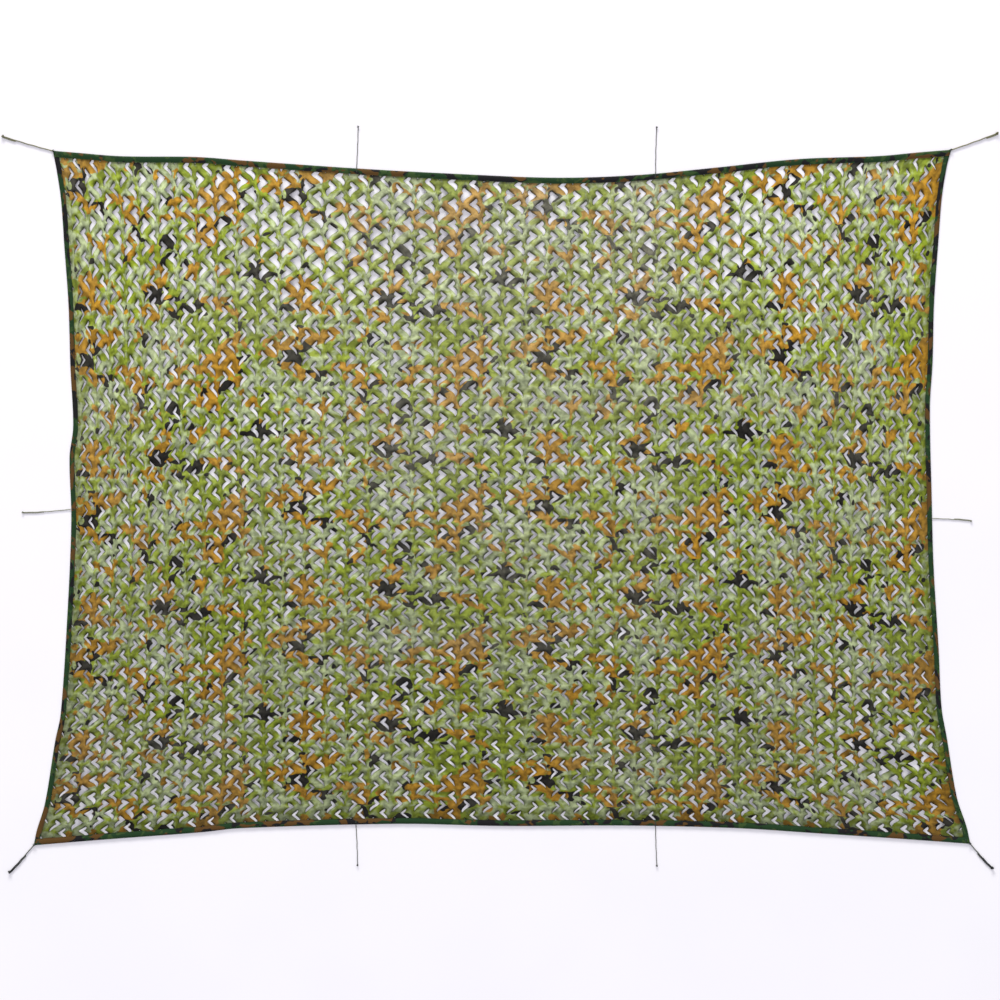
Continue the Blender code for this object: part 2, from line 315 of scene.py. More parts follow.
# Four-colour camouflage print that repeats like a screen-printed cloth.
def makePrintGroup():
    group, put, out = newGroup(
        "camouflagePrint",
        (
            ("Position", "Vector"), ("RepeatAcross", "Float", 0.968), ("RepeatUp", "Float", 0.641),
            ("BlotchScale", "Float", 8.0), ("Ragged", "Float", 1.0),
            ("BaseColour", "Color"), ("PaleColour", "Color"), ("BrownColour", "Color"),
            ("BlackColour", "Color"),
            ("PaleFrom", "Float", 0.5), ("BrownFrom", "Float", 0.6), ("BlackFrom", "Float", 0.63),
            ("Blur", "Float", 0.006), ("PaleBlur", "Float", 0.02), ("Seed", "Float", 0.0),
        ),
        (("Color", "Color"),),
    )
    apart = addNode(group, "ShaderNodeSeparateXYZ", {0: put["Position"]}).outputs

    def reckon(operation, first, second=None):
        return mathNode(group, operation, first, second)

    def circle(value, repeat):
        # Place on a circle as long round as the repeat, so that the noise meets itself.
        radius = reckon("DIVIDE", repeat, 2 * math.pi)
        angle = reckon("DIVIDE", value, radius)
        return [reckon("MULTIPLY", reckon(wave, angle), radius) for wave in ("COSINE", "SINE")]

    acrossCos, acrossSin = circle(apart[0], put["RepeatAcross"])
    upCos, upSin = circle(apart[1], put["RepeatUp"])

    def layer(name):
        # One periodic noise; stretch over 1 makes blotches wider than tall.
        number, scale, stretch, detail, share = printLayers[name]
        spot = addNode(group, "ShaderNodeCombineXYZ", {
            0: reckon("ADD", acrossCos, put["Seed"]),
            1: reckon("ADD", acrossSin, number * 3.7),
            2: reckon("MULTIPLY", upCos, stretch),
        })
        noise = addNode(group, "ShaderNodeTexNoise", {
            "Vector": spot.outputs[0],
            "W": reckon("MULTIPLY", upSin, stretch),
            "Scale": reckon("MULTIPLY", put["BlotchScale"], scale),
            "Detail": detail,
            "Roughness": 0.52,
            "Distortion": put["Ragged"],
        }, noise_dimensions="4D")
        return reckon("MULTIPLY", noise.outputs["Fac"], share)

    def mask(value, threshold, blur="Blur"):
        low, high = (reckon(way, threshold, put[blur]) for way in ("SUBTRACT", "ADD"))
        return rangeNode(group, value, low, high)

    pale = mask(reckon("ADD", layer("fine"), layer("broad")), put["PaleFrom"], "PaleBlur")
    brownValue = reckon("ADD", layer("clusters"), layer("pieces"))
    brown = mask(brownValue, put["BrownFrom"])
    # Black gathers along the rims of the brown clusters.
    apartFromRim = reckon("ABSOLUTE", reckon("SUBTRACT", brownValue, put["BrownFrom"]))
    rimShare = rangeNode(group, apartFromRim, 0.0, 0.1, 0.1, 0.0)
    black = mask(reckon("ADD", reckon("ADD", layer("marks"), layer("strokes")), rimShare), put["BlackFrom"])
    colour = mixColour(group, pale, put["BaseColour"], put["PaleColour"])
    colour = mixColour(group, brown, colour, put["BrownColour"])
    feed(group, out["Color"], mixColour(group, black, colour, put["BlackColour"]))
    return group


# Plain weave of flat yarns, as a height and a thread mask that paints shade into the gaps between the yarns.
def makeWeaveGroup():
    group, put, out = newGroup(
        "plainWeave",
        (("Position", "Vector"), ("YarnSpacing", "Float", 0.0007), ("Unevenness", "Float", 0.3)),
        (("Height", "Float"), ("Thread", "Float")),
    )
    apart = addNode(group, "ShaderNodeSeparateXYZ", {0: put["Position"]}).outputs
    waves = []
    for axis in (0, 1):
        turn = mathNode(group, "DIVIDE", apart[axis], put["YarnSpacing"])
        waves.append(mathNode(group, "SINE", mathNode(group, "MULTIPLY", turn, math.pi)))
    crossing = mathNode(group, "MULTIPLY", *waves)  # over and under like a chessboard
    slub = noiseNode(group, put["Position"], 1.0, stretch=(90, 900, 1))
    uneven = mathNode(group, "MULTIPLY", slub, put["Unevenness"])
    feed(group, out["Height"], mathNode(group, "ADD", mathNode(group, "MULTIPLY", crossing, 0.5), uneven))
    # The thread mask is low in the gaps between the yarns, where shade is painted, and carries the uneven
    # yarn tone.
    ridge = mathNode(group, "ABSOLUTE", crossing)
    feed(group, out["Thread"], mathNode(group, "ADD", ridge, uneven, clamp=True))
    return group


printGroup = makePrintGroup()
weaveGroup = makeWeaveGroup()
print("node groups ready")

clothLook = {
    "base": screenColour(121, 136, 33),
    "pale": screenColour(157, 169, 125),
    "brown": screenColour(157, 117, 29),
    "black": screenColour(27, 25, 21),
    "reverse": screenColour(60, 68, 28),
    "reverseShare": 0.55,
    "print": {
        "BlotchScale": 7.0, "Ragged": 0.5, "PaleFrom": 0.8, "BrownFrom": 0.538, "BlackFrom": 0.662,
        "PaleBlur": 0.075, "Seed": 27.3,
    },
    "faded": screenColour(142, 141, 122),
    "fadedAmount": 0.15,
    "fadedScale": 2.2,
    "fadedRows": (  # broad worn places: (centre x, centre y, half length, half width, amount)
        (0.05, 1.15, 0.75, 0.45, 0.28), (-0.15, 0.15, 0.5, 0.75, 0.16), (0.62, 0.9, 0.12, 0.6, 0.16),
        (0.8, 0.42, 0.9, 0.06, 0.2), (-1.95, 0.35, 0.2, 0.3, 0.2), (-0.3, -0.62, 0.7, 0.07, 0.2),
    ),
    # Painted light: the cloth is made lighter towards the top and darker towards the bottom, as the light
    # falls from the top.
    "brightTop": 1.34,
    "darkBottom": 0.72,
    # Painted shade near the hem, as the share of the full colour left at the edge.
    "hemShade": 0.45,
    "threadShade": (0.88, 1.05),
    # Painted shade of tilted strips with uneven ink: the scale of the noise and how far it lightens and
    # darkens.
    "mottleScale": 32.0,
    "mottle": 0.34,
    "creaseScale": 42.0,
    "creaseStrength": 0.5,
    "creaseDepth": 0.006,
    "yarnSpacing": 0.0008,
    "unevenness": 0.3,
    "weaveStrength": 0.35,
    "weaveDepth": 0.0004,
    "roughness": 0.62,
    "shine": 0.15,
}


def printNode(tree, look, place, **more):
    # The camouflage print in the colours and with the values of one look.
    colours = {name.title() + "Colour": look[name] for name in ("base", "pale", "brown", "black")}
    return groupNode(tree, printGroup, Position=place, **colours, **look["print"], **more)["Color"]


def wovenNodes(tree, look, place, **more):
    # Painted shade in the gaps between the threads, with uneven yarn tone, and their bump, on top of another
    # normal where one is given.
    values = {"YarnSpacing": look["yarnSpacing"], "Unevenness": look["unevenness"]}
    weave = groupNode(tree, weaveGroup, Position=place, **values)
    shade = rangeNode(tree, weave["Thread"], 0.0, 1.0, *look["threadShade"])
    return shade, bumpNode(tree, weave["Height"], look["weaveStrength"], look["weaveDepth"], **more)


def makeClothMaterial():
    look = clothLook
    material, tree = newMaterial("printedSlitCloth")
    uv = uvNode(tree, "clothUv")
    place3d = addNode(tree, "ShaderNodeTexCoord").outputs["Object"]
    faded = rangeNode(tree, noiseNode(tree, place3d, look["fadedScale"], 3.0), 0.42, 0.68)
    wear = mathNode(tree, "MULTIPLY", faded, look["fadedAmount"])
    fade = mathNode(tree, "ADD", wear, attributeNode(tree, "haze"), clamp=True)
    colour = mixColour(tree, fade, printNode(tree, look, uv), look["faded"])
    creases = noiseNode(tree, uv, look["creaseScale"], 2.0, 0.8)
    crumple = bumpNode(tree, creases, look["creaseStrength"], look["creaseDepth"])
    threadShade, bump = wovenNodes(tree, look, uv, Normal=crumple)
    # Painted shade of strips that tilt towards and away from the light, with uneven ink: a noise that makes
    # the cloth lighter and darker.
    mottle = noiseNode(tree, uv, look["mottleScale"])
    paintedShadeAndInk = rangeNode(tree, mottle, 0.32, 0.68, 1 - look["mottle"], 1 + look["mottle"])
    shade = mathNode(tree, "MULTIPLY", threadShade, paintedShadeAndInk)
    # Painted light and shade, stored on the mesh: lighter towards the top, darker towards the bottom and near
    # the hem.
    shade = mathNode(tree, "MULTIPLY", shade, attributeNode(tree, "paintedLightAndShade"))
    shaded = mixColour(tree, 1.0, colour, shade, "MULTIPLY")
    paintedLipShade = rangeNode(tree, attributeNode(tree, "lipShadeShare"), 0.2, 1.0, 1.0, 0.16)  # painted shade on the curled lips of the slits
    lipShaded = mixColour(tree, 1.0, shaded, paintedLipShade, "MULTIPLY")
    reverse = mixColour(tree, look["reverseShare"], lipShaded, look["reverse"])  # the print shows weakly
    side = addNode(tree, "ShaderNodeNewGeometry").outputs["Backfacing"]
    setSurface(tree, mixColour(tree, side, lipShaded, reverse), look["roughness"], look["shine"], Normal=bump)
    return material


clothMaterial = makeClothMaterial()

# The slit net. Half the slits are an open "<" and half its mirror image, in a staggered lattice.
net = {
    "columns": 43,
    "rows": 34,
    "rings": (0.0, 0.3, 1.0),  # from the lip of a slit to the middle of the strips round it
    "slitMiddle": (0.22, 0.5),
    "weld": 0.002,
    "gapChance": (0.84, 0.32),  # least share of the typical width, and what chance adds
    "gapMost": 0.42,
    "lean": 0.07,
    "zigzag": 0.11,
    "zigzagFrom": (0.05, 0.24),  # width of slit at which it begins, and how much more for all of it
    "jitter": 0.035,
    "baseHeight": 0.013,
    "lipDrop": 0.0115,
    "twist": 0.012,
    "rolling": 0.0022,
    "swell": 0.0025,
    "lowest": 0.0009,
    "hemHeight": 0.0022,
    "hemRise": (0.02, 0.075),  # the cloth rises from this far inside its edge, over this length
    # Painted shade by the hem fades out from this distance from the edge, over this length.
    "hemShadow": (-0.02, 0.13),
    "softTop": (0.014, 0.007),  # above the first height, the rest is squeezed into the second
    "clothPerColumn": 0.0872,
    "clothPerRow": 0.0855,
    "seed": 11,
}

# Crossing waves for smooth unevenness. Rows: (waves per unit across, up, phase).
waves = {
    "gap": ((0.61, 0.37, 1.0), (-0.43, 0.83, 2.2), (1.31, -0.52, 0.4)),
    "jitterAcross": ((5.1, 2.3, 0.2), (-3.7, 4.9, 1.9), (2.9, 6.1, 4.0)),
    "jitterUp": ((4.3, -3.1, 2.7), (2.2, 5.7, 0.9), (-6.3, 1.7, 5.1)),
    "rolling": ((1.9, 3.3, 0.0), (-2.7, 1.1, 2.0), (3.5, -1.9, 1.1)),
    "swell": ((2.1, 1.3, 0.5), (-1.2, 2.6, 1.7), (3.4, -0.8, 3.0)),
}

# How far the slits stray from an even spread, in shares of the net's width and length.
# Rows: (half waves across, half waves up, size).
strayAcross = (
    (2, 0, -0.0173), (2, 1, 0.0075), (2, 2, 0.0053), (2, 4, 0.0026), (4, 1, 0.0037), (3, 0, -0.0021),
)
strayUp = ((0, 1, -0.0368), (2, 1, -0.0139), (1, 2, 0.0026), (3, 2, -0.0029), (5, 2, 0.002))

# How wide the slits are pulled open. Rows: (centre x, centre y, half length, half width, gain).
openRows = (
    (-1.05, 1.22, 0.65, 0.34, 0.1),
    (1.13, 1.19, 0.55, 0.33, 0.09),
    (0.00, 1.28, 0.8, 0.28, 0.05),
    (-0.2, 0.9, 0.45, 0.25, 0.05),
    (-0.55, 0.15, 0.5, 0.4, 0.06),
    (0.3, 0.18, 0.35, 0.25, 0.03),
    (1.05, 0.18, 0.25, 0.25, 0.02),
    (-1.05, -0.9, 0.6, 0.3, 0.025),
    (1.35, -0.9, 0.45, 0.3, 0.025),
    (0.05, -1.1, 0.5, 0.5, -0.03),
    (-1.75, -1.25, 0.35, 0.35, 0.06),
    (1.7, -1.2, 0.4, 0.4, 0.05),
)
openFloor = 0.158


def ripple(x, y, numbers, size=1.0):
    return size * sum(np.sin(a * x + b * y + c) for a, b, c in numbers) / len(numbers)


def hills(spot, rows):
    # Sum of smooth hills. Rows: (centre x, centre y, half length, half width, height).
    return sum(
        height * np.exp(-(((spot[..., 0] - x) / halfLength) ** 2) - ((spot[..., 1] - y) / halfWidth) ** 2)
        for x, y, halfLength, halfWidth, height in rows
    )


def slitPlace(column, row):
    across, up = column / net["columns"], row / net["rows"]
    turn, lift = np.pi * across, np.pi * up
    shiftAcross = sum(size * np.sin(m * turn) * np.cos(n * lift) for m, n, size in strayAcross)
    shiftUp = sum(size * np.cos(m * turn) * np.sin(n * lift) for m, n, size in strayUp)
    return place(across + shiftAcross, up + shiftUp)


def openField(column, row):
    # Typical width of the slits round a place of the lattice, in shares of a column.
    wide = openFloor + hills(slitPlace(column, np.clip(row, 0, net["rows"])), openRows)
    nearSide, nearEnd = np.minimum(column, net["columns"] - column), np.minimum(row, net["rows"] - row)
    wide = wide * (1 + 0.2 * ripple(column, row, waves["gap"]))
    wide = wide * (0.45 + 0.55 * easeShare(nearSide, 0, 1.6)) * (0.8 + 0.2 * easeShare(nearEnd))
    return np.maximum(wide, 0.03)


def lipPoint(s, side, gap):
    # Outline of a slit round its middle, in shares of a lattice cell: s runs down from the top tip.
    top = np.stack((-0.04 + 0.4 * gap, 0.36 + 0.02 * gap), -1)
    corner = np.stack((-0.2 + 0.05 * gap, 0.11 - 0.05 * gap), -1)
    bottom = np.stack((0.2 + 0.04 * gap, -0.34 - 0.04 * gap), -1)
    first, second = np.clip(2 * s, 0, 1)[..., None], np.clip(2 * s - 1, 0, 1)[..., None]
    line = top + (corner - top) * first + (bottom - corner) * second
    wedge = (1 - np.abs(2 * s - 1)) ** 0.8  # wide slits open as a triangle, narrow ones as a bent band
    band = np.sin(np.pi * s) ** 0.6
    line[..., 0] += side * gap * (band + (wedge - band) * easeShare(gap, 0.21, 0.14))
    return line


def makeSlitTile():
    # One cell of the lattice: a "<" slit in its left half, and half a cell higher a ">" slit in its right.
    steps = [k / 6 for k in range(1, 7)]
    rim = [(0.25, 1.0), (0.0, 1.0)] + [(0.0, 1 - step) for step in steps]
    rim += [(0.25, 0.0), (0.5, 0.0)] + [(0.5, step) for step in steps]
    count = len(rim)
    half = count // 2
    vertices, faces, rimAt, lipAt, ringAt = [], [], [], [], []
    for mirror in (0, 1):
        first = len(vertices)
        for ring in net["rings"]:
            for k, rimSpot in enumerate(rim):
                s, side = (k / half, 0) if k <= half else ((count - k) / half, 1)
                lip = lipPoint(np.array(s), side, np.array(0.05)) + np.array(net["slitMiddle"])
                pair = np.array((lip * (1 - ring) + np.array(rimSpot) * ring, rimSpot))
                if mirror:
                    pair = np.array((1, 0.5)) + pair * np.array((-1, 1))
                vertices.append((*pair[0], 0.0))
                rimAt.append((*pair[1], 0.0))
                lipAt.append((s, side, mirror))
                ringAt.append(ring)
        for ring in range(len(net["rings"]) - 1):
            for k in range(count):
                inner, outer = first + ring * count, first + (ring + 1) * count
                quad = (inner + k, outer + k, outer + (k + 1) % count, inner + (k + 1) % count)
                faces.append(tuple(reversed(quad)) if mirror else quad)
    tile = makeObject("slitTile", vertices, faces)
    for name, values in (("rim", rimAt), ("lip", lipAt), ("ring", ringAt)):
        setPointValues(tile.data, name, values)
    return tile


def newGeometryTree(name, inputs):
    shape = ("Geometry", "Geometry")
    return newGroup(name, (shape, *inputs), (shape,), "GeometryNodeTree")


def realCopies(tree, points, source, **more):
    # Copies of one object on the points, made real.
    shape = addNode(tree, "GeometryNodeObjectInfo", {"Object": source}).outputs["Geometry"]
    copies = addNode(tree, "GeometryNodeInstanceOnPoints", {"Points": points, "Instance": shape, **more})
    return addNode(tree, "GeometryNodeRealizeInstances", {0: copies.outputs[0]}).outputs[0]


def finishTree(tree, out, geometry, material):
    painted = addNode(tree, "GeometryNodeSetMaterial", {"Geometry": geometry, "Material": material})
    feed(tree, out[0], painted.outputs[0])
    return tree


def makeLatticeTree():
    tree, put, out = newGeometryTree("slitLattice", (
        ("Columns", "Int"), ("Rows", "Int"), ("Slit Tile", "Object"), ("Seed", "Int"), ("Cloth", "Material"),
    ))
    grid = addNode(tree, "GeometryNodeMeshGrid", {
        "Vertices X": put["Columns"],
        "Vertices Y": put["Rows"],
        "Size X": mathNode(tree, "SUBTRACT", put["Columns"], 1.0),
        "Size Y": mathNode(tree, "SUBTRACT", put["Rows"], 1.0),
    })
    flow = addNode(tree, "GeometryNodeMeshToPoints", {"Mesh": grid.outputs["Mesh"]}).outputs[0]
    stores = {"cell": addNode(tree, "GeometryNodeInputPosition").outputs[0]}
    for name, offset in (("chance", 0.0), ("slack", 1.0)):
        seed = mathNode(tree, "ADD", put["Seed"], offset)
        chance = addNode(tree, "FunctionNodeRandomValue", {"Seed": seed}, data_type="FLOAT_VECTOR")
        stores[name] = chance.outputs[0]
    for name, value in stores.items():
        values = {"Name": name, "Geometry": flow, "Value": value}
        store = addNode(tree, "GeometryNodeStoreNamedAttribute", values, data_type="FLOAT_VECTOR")
        flow = store.outputs[0]
    flow = realCopies(tree, flow, put["Slit Tile"])
    joined = addNode(tree, "GeometryNodeMergeByDistance", {"Geometry": flow, "Distance": net["weld"]})
    return finishTree(tree, out, joined.outputs[0], put["Cloth"])


def setInputs(modifier, **values):
    # Modifier inputs are set by the identifier of the socket that has the label.
    items = modifier.node_group.interface.items_tree
    sockets = {item.name: item.identifier for item in items if item.item_type == "SOCKET"}
    for label, value in values.items():
        modifier[sockets[label.replace("_", " ")]] = value


def makeNet():
    columns, rows = net["columns"], net["rows"]
    tile = makeSlitTile()
    carrier = makeObject("netCarrier", [(0, 0, 0)], [])
    lattice = carrier.modifiers.new("slitLattice", "NODES")
    lattice.node_group = makeLatticeTree()
    setInputs(lattice, Columns=columns, Rows=rows + 1, Slit_Tile=tile, Seed=net["seed"], Cloth=clothMaterial)
    piece = toMesh(carrier, "slitNet")
    bpy.data.objects.remove(tile)
    mesh = piece.data
    print("lattice:", len(mesh.vertices), "points,", len(mesh.polygons), "faces")

    spot = np.empty(len(mesh.vertices) * 3, np.float32)
    mesh.vertices.foreach_get("co", spot)
    spot = spot.reshape(-1, 3)[:, :2].astype(float)
    names = ("cell", "rim", "lip", "chance", "slack", "ring")
    cell, rim, lip, chance, slack = (pointValues(mesh, name, 3) for name in names[:5])
    ring = pointValues(mesh, "ring", 1)
    s, side, mirror = lip.T
    isFar, isRight = side > 0.5, mirror > 0.5  # the far lip of its slit, the slit on the right

    # The grid is centred and has one extra row below, for the slits that stand half a cell higher.
    shift = np.array(((columns - 1) / 2, rows / 2 - 1))
    cell, spot = cell[:, :2] + shift, spot + shift
    rim = np.where(ring[:, None] > 0.99, spot, cell + rim[:, :2])

    middle = np.array(net["slitMiddle"])
    middleColumn = cell[:, 0] + np.where(isRight, 1 - middle[0], middle[0])
    middleRow = cell[:, 1] + middle[1] + 0.5 * isRight
    least, extra = net["gapChance"]
    luck = least + extra * np.where(isRight, chance[:, 0], chance[:, 1])
    gap = np.minimum(openField(middleColumn, middleRow) * luck, net["gapMost"])

    def outlineAt(width):
        line = lipPoint(s, side, width)
        line[:, 0] = np.where(isRight, 1 - middle[0] - line[:, 0], middle[0] + line[:, 0])
        line[:, 1] += middle[1] + 0.5 * isRight
        return cell + line

    weight = ring[:, None]
    opened = outlineAt(gap) + (slack[:, :2] - 0.5) * net["lean"]
    where = opened * (1 - weight) + rim * weight
    flat = outlineAt(np.zeros_like(gap)) * (1 - weight) + rim * weight
    wobbleX = ripple(*where.T, waves["jitterAcross"], net["jitter"])
    wobbleY = ripple(*where.T, waves["jitterUp"], net["jitter"])
    # The strips between two columns of slits zigzag, more so where the slits are wide open.
    swing = net["zigzag"] * easeShare(openField(*where.T), *net["zigzagFrom"])
    wobbleX = wobbleX - swing * np.cos(2 * np.pi * where[:, 0]) * np.cos(2 * np.pi * (where[:, 1] - 0.55))
    clear = easeShare(np.minimum(where[:, 0], columns - where[:, 0]))
    where = where + np.stack((wobbleX * clear, wobbleY), -1)
    outside = (where[:, 1] < 0.0) | (where[:, 1] > rows)
    where = np.clip(where, 0, (columns, rows))
    plan = slitPlace(*where.T)

    # Heights: the strips are convex, their lips curl down, and each strip twists a little its own way.
    upper = np.where(s < 0.5, np.sin(2 * np.pi * np.clip(s, 0, 0.5)), 0)
    lower = np.where(s > 0.5, np.sin(2 * np.pi * np.clip(s - 0.5, 0, 0.5)), 0)
    curl = upper * np.where(isFar, 1.0, 0.8) + lower * np.where(isFar, 0.8, 0.5) + 0.2
    grip = 0.45 + 0.55 * easeShare(gap, 0, 0.2)
    twist = (np.where(isFar, slack[:, 2], chance[:, 2]) - 0.5) * 2 * np.sin(np.pi * s)
    lipHeight = -net["lipDrop"] * curl * grip + net["twist"] * twist * grip
    rolling = ripple(*where.T, waves["rolling"], net["rolling"])
    swell = ripple(*plan.T, waves["swell"], net["swell"])
    height = net["baseHeight"] + swell + rolling + lipHeight * (1 - ring) ** 1.6
    fromSide = np.minimum(where[:, 0], columns - where[:, 0]) * meanWidth / columns
    fromEnd = np.minimum(where[:, 1], rows - where[:, 1]) * meanLength / rows
    edgeNear = np.minimum(fromSide, fromEnd)
    free = easeShare(edgeNear, *net["hemRise"])
    height = net["hemHeight"] + (height - net["hemHeight"]) * free
    height = np.maximum(height, net["lowest"] + 0.0012 * (1 - free))
    knee, spare = net["softTop"]
    height = np.where(height > knee, knee + spare * np.tanh((height - knee) / spare), height)

    mesh.vertices.foreach_set("co", np.column_stack((plan, height)).astype(np.float32).ravel())
    addUv(mesh, "clothUv", flat * np.array((net["clothPerColumn"], net["clothPerRow"])))
    for name in names:
        mesh.attributes.remove(mesh.attributes[name])
    # Painted shade: every lip is painted darker towards its edge, and a lip under a strip, which faces away
    # from the light, more than one on top of a strip.
    under = np.where(isFar, easeShare(4 * s - 1.5), easeShare(2.5 - 4 * s))
    look = clothLook
    # Painted light and shade: lighter towards the top, darker towards the bottom, and darker near the hem.
    upShare = easeShare(plan[:, 1], -1.75, 3.5)
    paintedLightAndShade = look["darkBottom"] + (look["brightTop"] - look["darkBottom"]) * upShare
    # Painted shade: the cloth is darker near its hem, next to the tapes.
    hem = look["hemShade"] + (1 - look["hemShade"]) * easeShare(edgeNear, *net["hemShadow"])
    setPointValues(mesh, "lipShadeShare", (1 - ring) * (0.45 + 0.55 * under))
    setPointValues(mesh, "haze", hills(plan, look["fadedRows"]))
    setPointValues(mesh, "paintedLightAndShade", paintedLightAndShade * hem)

    bm = bmesh.new()
    bm.from_mesh(mesh)
    bm.verts.ensure_lookup_table()
    beyond = [face for face in bm.faces if all(outside[vertex.index] for vertex in face.verts)]
    bmesh.ops.delete(bm, geom=beyond, context="FACES")
    bmesh.ops.dissolve_degenerate(bm, edges=bm.edges, dist=0.00002)
    bmesh.ops.triangulate(bm, faces=bm.faces)
    bm.normal_update()
    turned = [face for face in bm.faces if face.normal.z < 0.02]  # folded over at the tip of a slit
    print("turned faces left out:", len(turned))
    bmesh.ops.delete(bm, geom=turned, context="FACES")
    bm.to_mesh(mesh)
    bm.free()
    smoothFaces(mesh)
    mesh.update()
    print("net:", len(mesh.polygons), "triangles")
    return piece


slitNet = makeNet()

# Binding tape, folded over the edge of the net and pressed flat along its stitch line.
tape = {
    "station": 0.009,
    "wall": 0.0007,
    "stitchDepth": 0.0227,
    "stitchPitch": 0.008,
    "stitchLength": 0.0056,
    "stitchUneven": 0.08,
    "flatWidth": 0.054,
    "pucker": 0.0008,
    "sway": 0.00136,
    "seed": 5,
}
tack = {"stitches": 9, "from": 0.005, "pitch": 0.0015, "length": 0.0075}
# Section of the fold, from the upper raw edge round the outer face to the lower one: (depth, height) in mm.
tapeSection = (
    (26.0, 4.3), (24.4, 4.2), (22.7, 3.7), (20.7, 4.4), (16.0, 5.2), (9.0, 5.5), (4.0, 5.1),
    (1.3, 4.1), (0.0, 2.7), (1.0, 1.2), (3.5, 0.9), (12.0, 0.8), (26.0, 0.8),
)
tapeEdges = {
    # Edge: (height share, end under the other tape, UV offset, width share)
    "top": (1.1, 0.0, 0.0, 1.0),
    "bottom": (1.1, 0.0, 4.3, 1.0),
    "left": (0.92, 0.008, 8.9, 0.87),
    "right": (0.92, 0.008, 12.4, 0.87),
}
tapeLook = {
    "base": screenColour(24, 55, 24),
    "pale": screenColour(50, 74, 32),
    "brown": screenColour(86, 60, 22),
    "black": screenColour(16, 16, 18),
    "print": {
        "RepeatAcross": 5.7, "RepeatUp": 1.9, "BlotchScale": 9.0, "Ragged": 0.6, "PaleFrom": 0.86,
        "BrownFrom": 0.535, "BlackFrom": 0.595, "Seed": 2.6,
    },
    "yarnSpacing": 0.0006,
    "unevenness": 0.35,
    "threadShade": (0.84, 1.08),
    "weaveStrength": 0.5,
    "weaveDepth": 0.0003,
    "roughness": 0.7,
    "shine": 0.2,
    "thread": screenColour(30, 44, 28),
}


def makeTapeMaterial():
    look = tapeLook
    material, tree = newMaterial("printedBindingTape")
    uv = uvNode(tree, "tapeUv")
    shade, bump = wovenNodes(tree, look, uv)
    colour = mixColour(tree, 1.0, printNode(tree, look, uv), shade, "MULTIPLY")
    setSurface(tree, colour, look["roughness"], look["shine"], Normal=bump)
    return material


def edgeSpots(edge, along, depth):
    # Places at a depth inside one edge. Along and depth are arrays, both in shares of the net.
    depth = depth if edge in ("bottom", "left") else 1 - depth
    return place(along, depth) if edge in longEdges else place(depth, 1 - along)


def runAlong(path):
    # Distance from the start at each point of a path.
    return np.concatenate(([0], np.cumsum(np.linalg.norm(np.diff(path, axis=0), axis=1))))


def edgeStations(edge, pitch):
    # Shares along an edge at an even pitch, their distances along it, their sway and the depth scale.
    fine = np.linspace(0, 1, 1200)
    run = runAlong(edgePoint(edge, fine))
    distance = np.linspace(0, run[-1], int(round(run[-1] / pitch)) + 1)
    numbers = ((61.0, 0, tapeEdges[edge][2]), (97.0, 0, 2.0), (23.0, 0, 1.1))
    sway = ripple(distance, 0, numbers, tape["sway"])
    return np.interp(distance, run, fine), distance, sway, meanLength if edge in longEdges else meanWidth


def tapeHeight(edge, distance, depth, height):
    # Height of the fold at a depth (in metres) with its puckers, flatter at the ends, all in metres.
    high, tuck, offset, _ = tapeEdges[edge]
    fromEnd = np.minimum(distance, distance[-1] - distance)
    numbers = ((390.0, 40.0, offset), (271.0, -60.0, 1.7), (517.0, 25.0, 0.6), (83.0, 0.0, offset))
    pucker = tape["pucker"] * ripple(distance, depth, numbers)
    lifted = height * (high if height > 0.0025 else 1.0) + pucker * np.clip((height - 0.003) / 0.0015, 0, 1)
    if tuck:
        pressed = easeShare(fromEnd, 0.02, 0.035)
        return (0.0019 + (lifted / (0.0055 * high)) * 0.0024) * (1 - pressed) + lifted * pressed
    closed = easeShare(fromEnd, 0, 0.006)
    return 0.0027 + (lifted - 0.0027) * (0.15 + 0.85 * closed)


def makeTape(edge, material):
    _, tuck, offset, narrow = tapeEdges[edge]
    share, distance, sway, depthScale = edgeStations(edge, tape["station"])
    total = distance[-1]
    share = share * (1 - 2 * tuck / total) + tuck / total
    vertices, faces, uv = [], [], []
    rows, count = len(tapeSection), len(share)
    run = 0.0
    before = tapeSection[0]
    for depth, height in tapeSection:
        run += math.hypot(depth - before[0], height - before[1]) / 1000
        before = (depth, height)
        depth, height = depth / 1000, height / 1000
        deep = np.maximum(depth * narrow + sway * min(depth / 0.02, 1.0), 0.0)
        plan = edgeSpots(edge, share, deep / depthScale)
        vertices.append(np.column_stack((plan, tapeHeight(edge, distance, depth, height))))
        uv.append(np.column_stack((distance + offset, np.full(count, run + 0.3 * offset))))
    for row in range(rows - 1):
        for station in range(count - 1):
            a, b = row * count + station, (row + 1) * count + station
            faces.append((a, a + 1, b + 1, b) if edge in ("bottom", "right") else (a, b, b + 1, a + 1))
    made = makeObject(edge + "Tape", np.concatenate(vertices), faces, material)
    addUv(made.data, "tapeUv", np.concatenate(uv))
    wall = made.modifiers.new("wall", "SOLIDIFY")
    wall.thickness = tape["wall"]
    wall.offset = -1.0
    wall.use_even_offset = True
    return toMesh(made, edge + "Tape"), total


# Stitching: short thread runs on guide points, each with a direction and a size.
def makeStitchShape():
    sides, half = 6, ((-0.5, 0.0, 0.2), (-0.46, 0.45, 0.5), (-0.25, 0.9, 1.0))
    rings = half + tuple((-along, lift, size) for along, lift, size in reversed(half))
    vertices = []
    for along, lift, size in rings:
        for k in range(sides):
            angle, radius = 2 * math.pi * k / sides, 0.07 * size
            vertices.append((along, radius * math.cos(angle), radius * math.sin(angle) + 0.05 * lift))
    return makeObject("stitchShape", vertices, tubeFaces(len(rings), sides))


